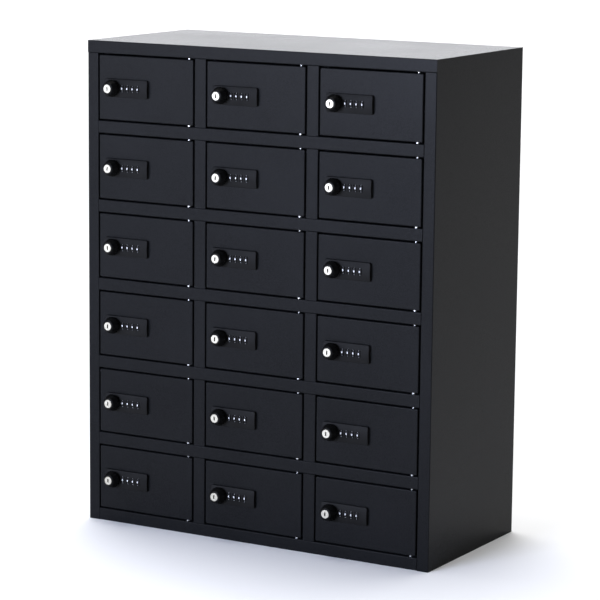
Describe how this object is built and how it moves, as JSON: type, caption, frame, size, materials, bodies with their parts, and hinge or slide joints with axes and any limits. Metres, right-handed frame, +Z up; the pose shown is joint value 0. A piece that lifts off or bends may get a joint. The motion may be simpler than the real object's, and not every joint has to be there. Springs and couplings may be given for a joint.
{
  "type": "cell phone locker box",
  "caption": "Black steel locker cabinet with a grid of small hinged doors, each with a combination dial lock, key override and turn knob.",
  "frame": {"origin": "centre of the base footprint, on the floor", "axes": "+X to the right as seen from the front, +Y from the doors to the back, +Z up"},
  "size_m": [0.6, 0.3021, 0.75],
  "materials": {
    "powder_coat": "fine-textured semi-matt powder coat on steel sheet",
    "knob_black": "satin black die casting with a nickel key plug",
    "dial_black": "satin black thumbwheels with white digits",
    "zinc_pin": "bright zinc plate"
  },
  "bodies": {
    "cabinet": {"outer_shell": "powder_coat", "top_panel": "powder_coat", "bottom_panel": "powder_coat", "shelves": "powder_coat", "dividers_and_stops": "powder_coat", "hinge_pins": "zinc_pin"},
    "door_01": {"door_01": "powder_coat"},
    "knob_01": {"knob_01": "knob_black"},
    "dials_01": {"dials_01": "dial_black"},
    "door_02": {"door_02": "powder_coat"},
    "knob_02": {"knob_02": "knob_black"},
    "dials_02": {"dials_02": "dial_black"},
    "door_03": {"door_03": "powder_coat"},
    "knob_03": {"knob_03": "knob_black"},
    "dials_03": {"dials_03": "dial_black"},
    "door_04": {"door_04": "powder_coat"},
    "knob_04": {"knob_04": "knob_black"},
    "dials_04": {"dials_04": "dial_black"},
    "door_05": {"door_05": "powder_coat"},
    "knob_05": {"knob_05": "knob_black"},
    "dials_05": {"dials_05": "dial_black"},
    "door_06": {"door_06": "powder_coat"},
    "knob_06": {"knob_06": "knob_black"},
    "dials_06": {"dials_06": "dial_black"},
    "door_07": {"door_07": "powder_coat"},
    "knob_07": {"knob_07": "knob_black"},
    "dials_07": {"dials_07": "dial_black"},
    "door_08": {"door_08": "powder_coat"},
    "knob_08": {"knob_08": "knob_black"},
    "dials_08": {"dials_08": "dial_black"},
    "door_09": {"door_09": "powder_coat"},
    "knob_09": {"knob_09": "knob_black"},
    "dials_09": {"dials_09": "dial_black"},
    "door_10": {"door_10": "powder_coat"},
    "knob_10": {"knob_10": "knob_black"},
    "dials_10": {"dials_10": "dial_black"},
    "door_11": {"door_11": "powder_coat"},
    "knob_11": {"knob_11": "knob_black"},
    "dials_11": {"dials_11": "dial_black"},
    "door_12": {"door_12": "powder_coat"},
    "knob_12": {"knob_12": "knob_black"},
    "dials_12": {"dials_12": "dial_black"},
    "door_13": {"door_13": "powder_coat"},
    "knob_13": {"knob_13": "knob_black"},
    "dials_13": {"dials_13": "dial_black"},
    "door_14": {"door_14": "powder_coat"},
    "knob_14": {"knob_14": "knob_black"},
    "dials_14": {"dials_14": "dial_black"},
    "door_15": {"door_15": "powder_coat"},
    "knob_15": {"knob_15": "knob_black"},
    "dials_15": {"dials_15": "dial_black"},
    "door_16": {"door_16": "powder_coat"},
    "knob_16": {"knob_16": "knob_black"},
    "dials_16": {"dials_16": "dial_black"},
    "door_17": {"door_17": "powder_coat"},
    "knob_17": {"knob_17": "knob_black"},
    "dials_17": {"dials_17": "dial_black"},
    "door_18": {"door_18": "powder_coat"},
    "knob_18": {"knob_18": "knob_black"},
    "dials_18": {"dials_18": "dial_black"}
  },
  "joints": [
    {"name": "door_01_hinge", "type": "hinge", "parent": "cabinet", "child": "door_01", "pos_m": [-0.1196, -0.134, 0.67958], "axis": [0, 0, 1], "range_deg": [0, 110]},
    {"name": "knob_01_turn", "type": "hinge", "parent": "door_01", "child": "knob_01", "pos_m": [-0.2501, -0.14, 0.67958], "axis": [0, 1, 0], "range_deg": [0, 90]},
    {"name": "dials_01_spin", "type": "hinge", "parent": "door_01", "child": "dials_01", "pos_m": [-0.21975, -0.1364, 0.67958], "axis": [1, 0, 0], "continuous": true},
    {"name": "door_02_hinge", "type": "hinge", "parent": "cabinet", "child": "door_02", "pos_m": [0.0744, -0.134, 0.67958], "axis": [0, 0, 1], "range_deg": [0, 110]},
    {"name": "knob_02_turn", "type": "hinge", "parent": "door_02", "child": "knob_02", "pos_m": [-0.0561, -0.14, 0.67958], "axis": [0, 1, 0], "range_deg": [0, 90]},
    {"name": "dials_02_spin", "type": "hinge", "parent": "door_02", "child": "dials_02", "pos_m": [-0.02575, -0.1364, 0.67958], "axis": [1, 0, 0], "continuous": true},
    {"name": "door_03_hinge", "type": "hinge", "parent": "cabinet", "child": "door_03", "pos_m": [0.2684, -0.134, 0.67958], "axis": [0, 0, 1], "range_deg": [0, 110]},
    {"name": "knob_03_turn", "type": "hinge", "parent": "door_03", "child": "knob_03", "pos_m": [0.1379, -0.14, 0.67958], "axis": [0, 1, 0], "range_deg": [0, 90]},
    {"name": "dials_03_spin", "type": "hinge", "parent": "door_03", "child": "dials_03", "pos_m": [0.16825, -0.1364, 0.67958], "axis": [1, 0, 0], "continuous": true},
    {"name": "door_04_hinge", "type": "hinge", "parent": "cabinet", "child": "door_04", "pos_m": [-0.1196, -0.134, 0.55775], "axis": [0, 0, 1], "range_deg": [0, 110]},
    {"name": "knob_04_turn", "type": "hinge", "parent": "door_04", "child": "knob_04", "pos_m": [-0.2501, -0.14, 0.55775], "axis": [0, 1, 0], "range_deg": [0, 90]},
    {"name": "dials_04_spin", "type": "hinge", "parent": "door_04", "child": "dials_04", "pos_m": [-0.21975, -0.1364, 0.55775], "axis": [1, 0, 0], "continuous": true},
    {"name": "door_05_hinge", "type": "hinge", "parent": "cabinet", "child": "door_05", "pos_m": [0.0744, -0.134, 0.55775], "axis": [0, 0, 1], "range_deg": [0, 110]},
    {"name": "knob_05_turn", "type": "hinge", "parent": "door_05", "child": "knob_05", "pos_m": [-0.0561, -0.14, 0.55775], "axis": [0, 1, 0], "range_deg": [0, 90]},
    {"name": "dials_05_spin", "type": "hinge", "parent": "door_05", "child": "dials_05", "pos_m": [-0.02575, -0.1364, 0.55775], "axis": [1, 0, 0], "continuous": true},
    {"name": "door_06_hinge", "type": "hinge", "parent": "cabinet", "child": "door_06", "pos_m": [0.2684, -0.134, 0.55775], "axis": [0, 0, 1], "range_deg": [0, 110]},
    {"name": "knob_06_turn", "type": "hinge", "parent": "door_06", "child": "knob_06", "pos_m": [0.1379, -0.14, 0.55775], "axis": [0, 1, 0], "range_deg": [0, 90]},
    {"name": "dials_06_spin", "type": "hinge", "parent": "door_06", "child": "dials_06", "pos_m": [0.16825, -0.1364, 0.55775], "axis": [1, 0, 0], "continuous": true},
    {"name": "door_07_hinge", "type": "hinge", "parent": "cabinet", "child": "door_07", "pos_m": [-0.1196, -0.134, 0.43592], "axis": [0, 0, 1], "range_deg": [0, 110]},
    {"name": "knob_07_turn", "type": "hinge", "parent": "door_07", "child": "knob_07", "pos_m": [-0.2501, -0.14, 0.43592], "axis": [0, 1, 0], "range_deg": [0, 90]},
    {"name": "dials_07_spin", "type": "hinge", "parent": "door_07", "child": "dials_07", "pos_m": [-0.21975, -0.1364, 0.43592], "axis": [1, 0, 0], "continuous": true},
    {"name": "door_08_hinge", "type": "hinge", "parent": "cabinet", "child": "door_08", "pos_m": [0.0744, -0.134, 0.43592], "axis": [0, 0, 1], "range_deg": [0, 110]},
    {"name": "knob_08_turn", "type": "hinge", "parent": "door_08", "child": "knob_08", "pos_m": [-0.0561, -0.14, 0.43592], "axis": [0, 1, 0], "range_deg": [0, 90]},
    {"name": "dials_08_spin", "type": "hinge", "parent": "door_08", "child": "dials_08", "pos_m": [-0.02575, -0.1364, 0.43592], "axis": [1, 0, 0], "continuous": true},
    {"name": "door_09_hinge", "type": "hinge", "parent": "cabinet", "child": "door_09", "pos_m": [0.2684, -0.134, 0.43592], "axis": [0, 0, 1], "range_deg": [0, 110]},
    {"name": "knob_09_turn", "type": "hinge", "parent": "door_09", "child": "knob_09", "pos_m": [0.1379, -0.14, 0.43592], "axis": [0, 1, 0], "range_deg": [0, 90]},
    {"name": "dials_09_spin", "type": "hinge", "parent": "door_09", "child": "dials_09", "pos_m": [0.16825, -0.1364, 0.43592], "axis": [1, 0, 0], "continuous": true},
    {"name": "door_10_hinge", "type": "hinge", "parent": "cabinet", "child": "door_10", "pos_m": [-0.1196, -0.134, 0.31408], "axis": [0, 0, 1], "range_deg": [0, 110]},
    {"name": "knob_10_turn", "type": "hinge", "parent": "door_10", "child": "knob_10", "pos_m": [-0.2501, -0.14, 0.31408], "axis": [0, 1, 0], "range_deg": [0, 90]},
    {"name": "dials_10_spin", "type": "hinge", "parent": "door_10", "child": "dials_10", "pos_m": [-0.21975, -0.1364, 0.31408], "axis": [1, 0, 0], "continuous": true},
    {"name": "door_11_hinge", "type": "hinge", "parent": "cabinet", "child": "door_11", "pos_m": [0.0744, -0.134, 0.31408], "axis": [0, 0, 1], "range_deg": [0, 110]},
    {"name": "knob_11_turn", "type": "hinge", "parent": "door_11", "child": "knob_11", "pos_m": [-0.0561, -0.14, 0.31408], "axis": [0, 1, 0], "range_deg": [0, 90]},
    {"name": "dials_11_spin", "type": "hinge", "parent": "door_11", "child": "dials_11", "pos_m": [-0.02575, -0.1364, 0.31408], "axis": [1, 0, 0], "continuous": true},
    {"name": "door_12_hinge", "type": "hinge", "parent": "cabinet", "child": "door_12", "pos_m": [0.2684, -0.134, 0.31408], "axis": [0, 0, 1], "range_deg": [0, 110]},
    {"name": "knob_12_turn", "type": "hinge", "parent": "door_12", "child": "knob_12", "pos_m": [0.1379, -0.14, 0.31408], "axis": [0, 1, 0], "range_deg": [0, 90]},
    {"name": "dials_12_spin", "type": "hinge", "parent": "door_12", "child": "dials_12", "pos_m": [0.16825, -0.1364, 0.31408], "axis": [1, 0, 0], "continuous": true},
    {"name": "door_13_hinge", "type": "hinge", "parent": "cabinet", "child": "door_13", "pos_m": [-0.1196, -0.134, 0.19225], "axis": [0, 0, 1], "range_deg": [0, 110]},
    {"name": "knob_13_turn", "type": "hinge", "parent": "door_13", "child": "knob_13", "pos_m": [-0.2501, -0.14, 0.19225], "axis": [0, 1, 0], "range_deg": [0, 90]},
    {"name": "dials_13_spin", "type": "hinge", "parent": "door_13", "child": "dials_13", "pos_m": [-0.21975, -0.1364, 0.19225], "axis": [1, 0, 0], "continuous": true},
    {"name": "door_14_hinge", "type": "hinge", "parent": "cabinet", "child": "door_14", "pos_m": [0.0744, -0.134, 0.19225], "axis": [0, 0, 1], "range_deg": [0, 110]},
    {"name": "knob_14_turn", "type": "hinge", "parent": "door_14", "child": "knob_14", "pos_m": [-0.0561, -0.14, 0.19225], "axis": [0, 1, 0], "range_deg": [0, 90]},
    {"name": "dials_14_spin", "type": "hinge", "parent": "door_14", "child": "dials_14", "pos_m": [-0.02575, -0.1364, 0.19225], "axis": [1, 0, 0], "continuous": true},
    {"name": "door_15_hinge", "type": "hinge", "parent": "cabinet", "child": "door_15", "pos_m": [0.2684, -0.134, 0.19225], "axis": [0, 0, 1], "range_deg": [0, 110]},
    {"name": "knob_15_turn", "type": "hinge", "parent": "door_15", "child": "knob_15", "pos_m": [0.1379, -0.14, 0.19225], "axis": [0, 1, 0], "range_deg": [0, 90]},
    {"name": "dials_15_spin", "type": "hinge", "parent": "door_15", "child": "dials_15", "pos_m": [0.16825, -0.1364, 0.19225], "axis": [1, 0, 0], "continuous": true},
    {"name": "door_16_hinge", "type": "hinge", "parent": "cabinet", "child": "door_16", "pos_m": [-0.1196, -0.134, 0.07042], "axis": [0, 0, 1], "range_deg": [0, 110]},
    {"name": "knob_16_turn", "type": "hinge", "parent": "door_16", "child": "knob_16", "pos_m": [-0.2501, -0.14, 0.07042], "axis": [0, 1, 0], "range_deg": [0, 90]},
    {"name": "dials_16_spin", "type": "hinge", "parent": "door_16", "child": "dials_16", "pos_m": [-0.21975, -0.1364, 0.07042], "axis": [1, 0, 0], "continuous": true},
    {"name": "door_17_hinge", "type": "hinge", "parent": "cabinet", "child": "door_17", "pos_m": [0.0744, -0.134, 0.07042], "axis": [0, 0, 1], "range_deg": [0, 110]},
    {"name": "knob_17_turn", "type": "hinge", "parent": "door_17", "child": "knob_17", "pos_m": [-0.0561, -0.14, 0.07042], "axis": [0, 1, 0], "range_deg": [0, 90]},
    {"name": "dials_17_spin", "type": "hinge", "parent": "door_17", "child": "dials_17", "pos_m": [-0.02575, -0.1364, 0.07042], "axis": [1, 0, 0], "continuous": true},
    {"name": "door_18_hinge", "type": "hinge", "parent": "cabinet", "child": "door_18", "pos_m": [0.2684, -0.134, 0.07042], "axis": [0, 0, 1], "range_deg": [0, 110]},
    {"name": "knob_18_turn", "type": "hinge", "parent": "door_18", "child": "knob_18", "pos_m": [0.1379, -0.14, 0.07042], "axis": [0, 1, 0], "range_deg": [0, 90]},
    {"name": "dials_18_spin", "type": "hinge", "parent": "door_18", "child": "dials_18", "pos_m": [0.16825, -0.1364, 0.07042], "axis": [1, 0, 0], "continuous": true}
  ]
}
